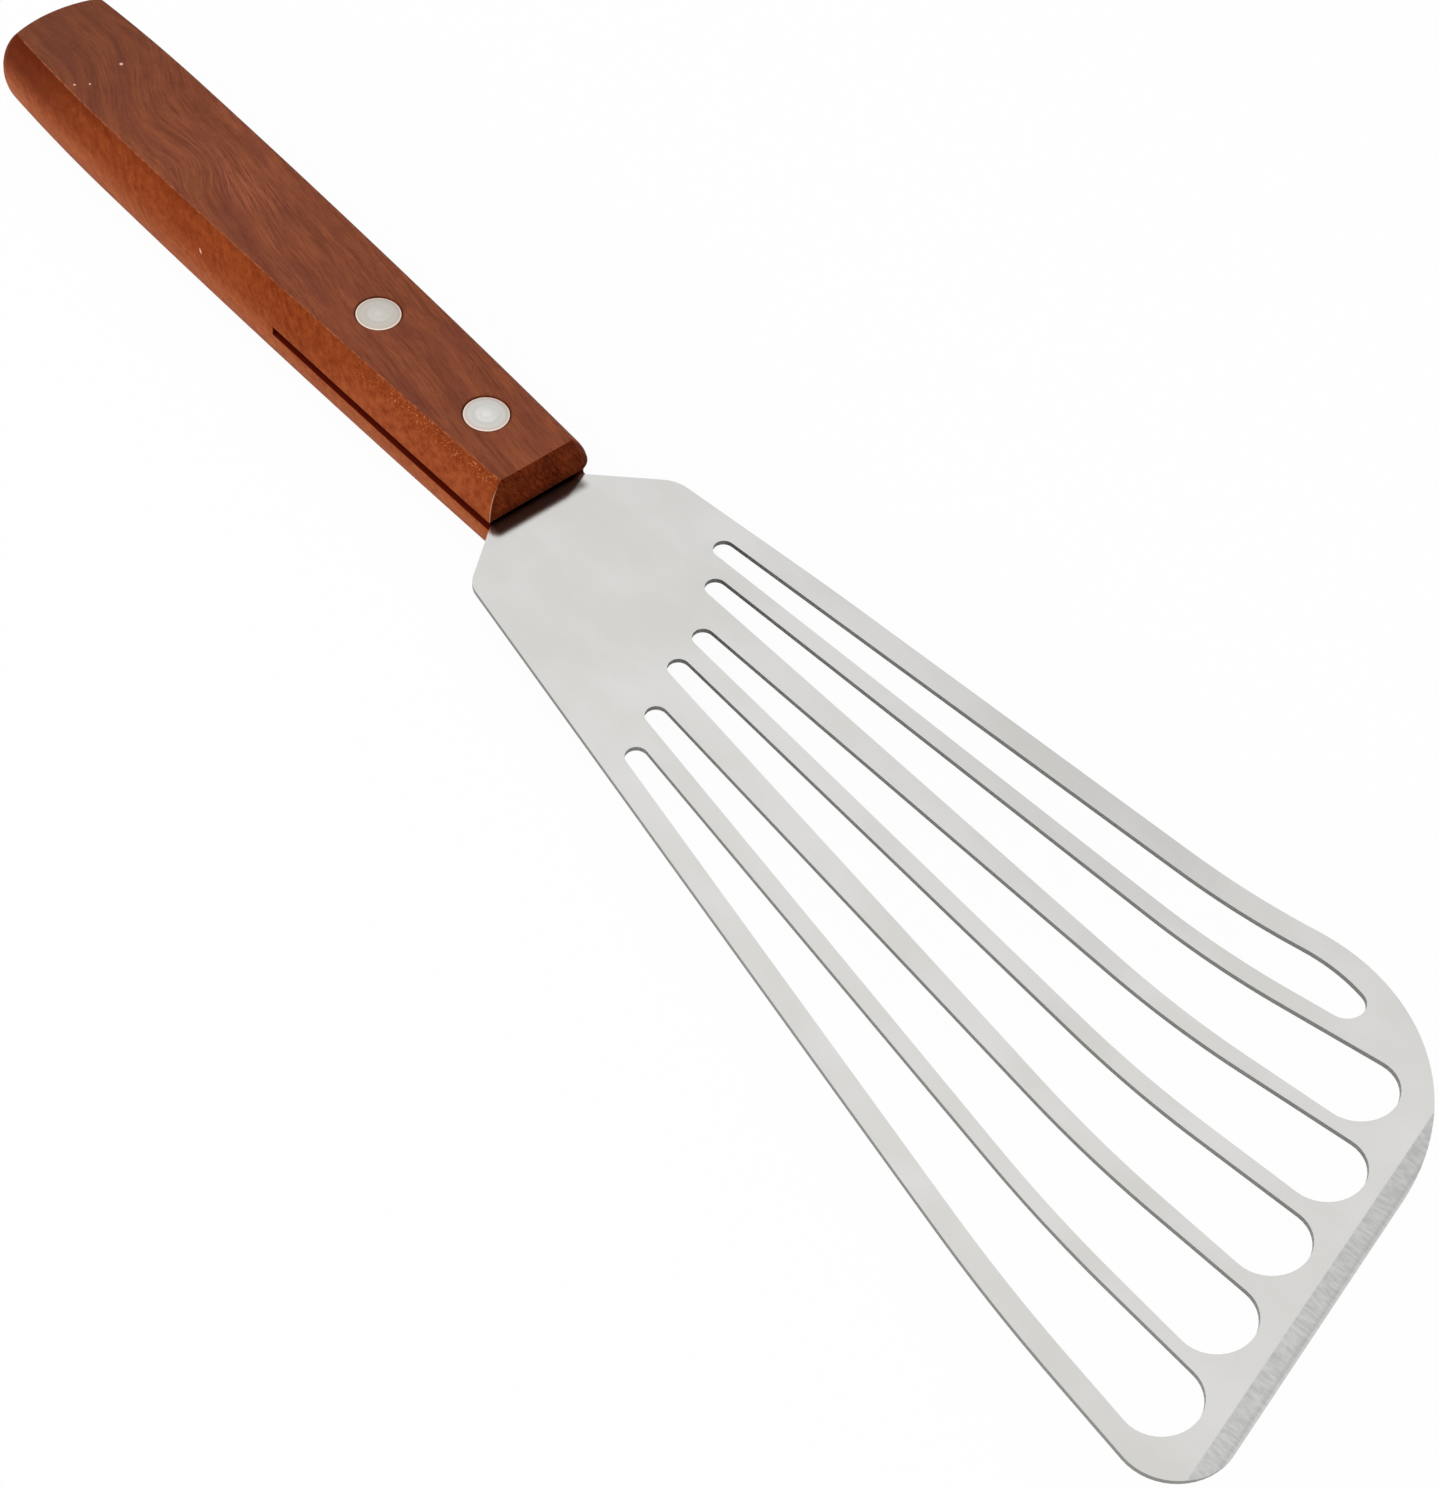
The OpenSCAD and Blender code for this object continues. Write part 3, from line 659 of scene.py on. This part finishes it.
def head_profile():
    """a head's top from its middle out to its rim: nearly flat, with a shallow spun ring and an eased rim"""
    top = HANDLE_T - HEAD_SINK
    dome_r = sag_radius(HEAD_D / 2, DOME_H)
    places = []
    for r in steps(0.0, HEAD_D / 2 - RIM_R, DOME_STEPS):
        ring = RING_DEEP * math.exp(-((r - RING_R) / RING_REACH) ** 2)
        places.append((r, top - dome_r + math.sqrt(dome_r ** 2 - r * r) - ring))
    r0, z0 = places[-1]
    rim = steps(0.0, math.pi / 2, RIM_STEPS)[1:]
    return places + [(r0 + RIM_R * math.sin(a), z0 - RIM_R * (1 - math.cos(a))) for a in rim]


def rivets():
    seat_z = HANDLE_T - HEAD_T - HEAD_SINK
    head = head_profile() + [(HEAD_D / 2, seat_z)]
    shank_end = HEAD_T + HEAD_SINK + TUBE_GAP
    bore_r = SHANK_D / 2 + SHANK_CLEAR
    post = head + [(SHANK_D / 2, seat_z), (SHANK_D / 2, shank_end), (0, shank_end)]
    tube = head + [(TUBE_D / 2, seat_z), (TUBE_D / 2, shank_end), (bore_r, shank_end), (bore_r, seat_z), (0, seat_z)]
    for place, x in (("front", RIVET_X), ("rear", -RIVET_X)):
        piece(place + "_rivet_post", spun(post, x, False), "rivet_metal", "rivet_%s_post" % place)
        piece(place + "_rivet_cap", spun(tube, x, True), "rivet_metal", "rivet_%s_cap" % place)


looks = {"wood": wood(), "blade_steel": steel(), "rivet_metal": rivet_metal()}
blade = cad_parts["blade"]
blade.data.materials.clear()
blade.data.materials.append(looks["blade_steel"])
handle()
rivets()


# ------------------------------------------------------------------ stage, in metres
FLOOR_HALF, FLOOR_SEGMENTS, FLOOR_DROP = 4.0, 8, 0.0002
FLOOR_GREY, FLOOR_GLOW = 0.88, 0.96
WHITE = grey(1.0)
# The sky's brightness at the horizon, beyond the short side and behind the butt, where overhead is 1, and that of
# the fill light beyond the long side
HORIZON, SHORT_SIDE, BUTT_END, FILL = 0.42, 0.66, 0.965, 0.9
LIT_POINT = Vector((0.03, 0, 0))


def floor():
    """a pale grey floor under the turner's shadow, which the camera sees nearly white"""
    bm = bmesh.new()
    bmesh.ops.create_grid(bm, x_segments=FLOOR_SEGMENTS, y_segments=FLOOR_SEGMENTS, size=FLOOR_HALF)
    mesh = bpy.data.meshes.new("floor")
    bm.to_mesh(mesh)
    bm.free()
    obj = bpy.data.objects.new("floor", mesh)
    obj.location.z = -FLOOR_DROP
    bpy.context.scene.collection.objects.link(obj)
    g = Graph(bpy.data.materials.new("floor_pale"))
    lit = g.node("BsdfDiffuse", {"Color": grey(FLOOR_GREY)})
    white = g.node("Emission", {"Color": WHITE, "Strength": 1.0})
    seen = g.mul(g.node("LightPath").outputs["Is Camera Ray"], FLOOR_GLOW)
    both = g.node("MixShader", {0: seen, 1: lit.outputs[0], 2: white.outputs[0]})
    mesh.materials.append(g.output("OutputMaterial", both))


def sky():
    """soft studio light from all round; the camera sees it plain white"""
    world = bpy.data.worlds.new("studio")
    bpy.context.scene.world = world
    g = Graph(world)
    # The three numbers of the way that a ray goes, as shares of its length
    along, across, up = g.axes(g.node("TexCoord").outputs["Generated"])
    level = g.mul(g.smooth(up, 0.0, 0.7, low=HORIZON), g.smooth(across, 0.45, 0.65, 1.0, SHORT_SIDE),
                  g.smooth(along, -0.40, -0.54, 1.0, BUTT_END))
    fill = g.mul(g.smooth(across, -0.2, -0.8, high=FILL), g.smooth(up, 0.45, 0.0))
    light = g.node("Background", {"Color": WHITE, "Strength": g.add(level, fill)})
    seen = g.node("Background", {"Color": WHITE, "Strength": 1.0})
    by_camera = g.node("LightPath").outputs["Is Camera Ray"]
    both = g.node("MixShader", {0: by_camera, 1: light.outputs[0], 2: seen.outputs[0]})
    g.output("OutputWorld", both)


def lamp(name, azimuth, elevation, distance, size, power):
    a, e = math.radians(azimuth), math.radians(elevation)
    way = Vector((math.cos(e) * math.cos(a), math.cos(e) * math.sin(a), math.sin(e)))
    light = bpy.data.lights.new(name, "AREA")
    light.shape = "DISK"
    light.size = size
    light.energy = power
    obj = bpy.data.objects.new(name, light)
    obj.location = LIT_POINT + way * distance
    obj.rotation_mode = "QUATERNION"
    obj.rotation_quaternion = way.to_track_quat("Z", "Y")
    bpy.context.scene.collection.objects.link(obj)


floor()
sky()
lamp("key_left", azimuth=-105, elevation=24, distance=1.0, size=0.5, power=4.0)


# ------------------------------------------------------------------ camera
def camera():
    """the camera of the photo: its way from the target in radians, and its target and distance in millimetres"""
    azimuth, elevation, roll = -0.826542, 0.907466, 0.134139
    target, distance = Vector((74.9149, -9.60397, 6.83)), 380.0
    focal_px, long_side_px = 2837.925, 1488
    level = math.cos(elevation)
    away = Vector((level * math.cos(azimuth), level * math.sin(azimuth), math.sin(elevation)))
    side = (-away).cross(Vector((0, 0, 1))).normalized()
    above = side.cross(-away)
    right = math.cos(roll) * side + math.sin(roll) * above
    up = -math.sin(roll) * side + math.cos(roll) * above
    data = bpy.data.cameras.new("camera")
    data.sensor_fit = "AUTO"
    data.sensor_width = 36.0
    data.lens = focal_px * data.sensor_width / long_side_px
    data.clip_start, data.clip_end = 0.01, 50.0
    cam = bpy.data.objects.new("camera", data)
    cam.matrix_world = Matrix((right, up, away)).transposed().to_4x4()
    cam.location = (target + away * distance) * MM
    bpy.context.scene.collection.objects.link(cam)
    bpy.context.scene.camera = cam


camera()
bpy.context.scene.view_settings.view_transform = "Standard"
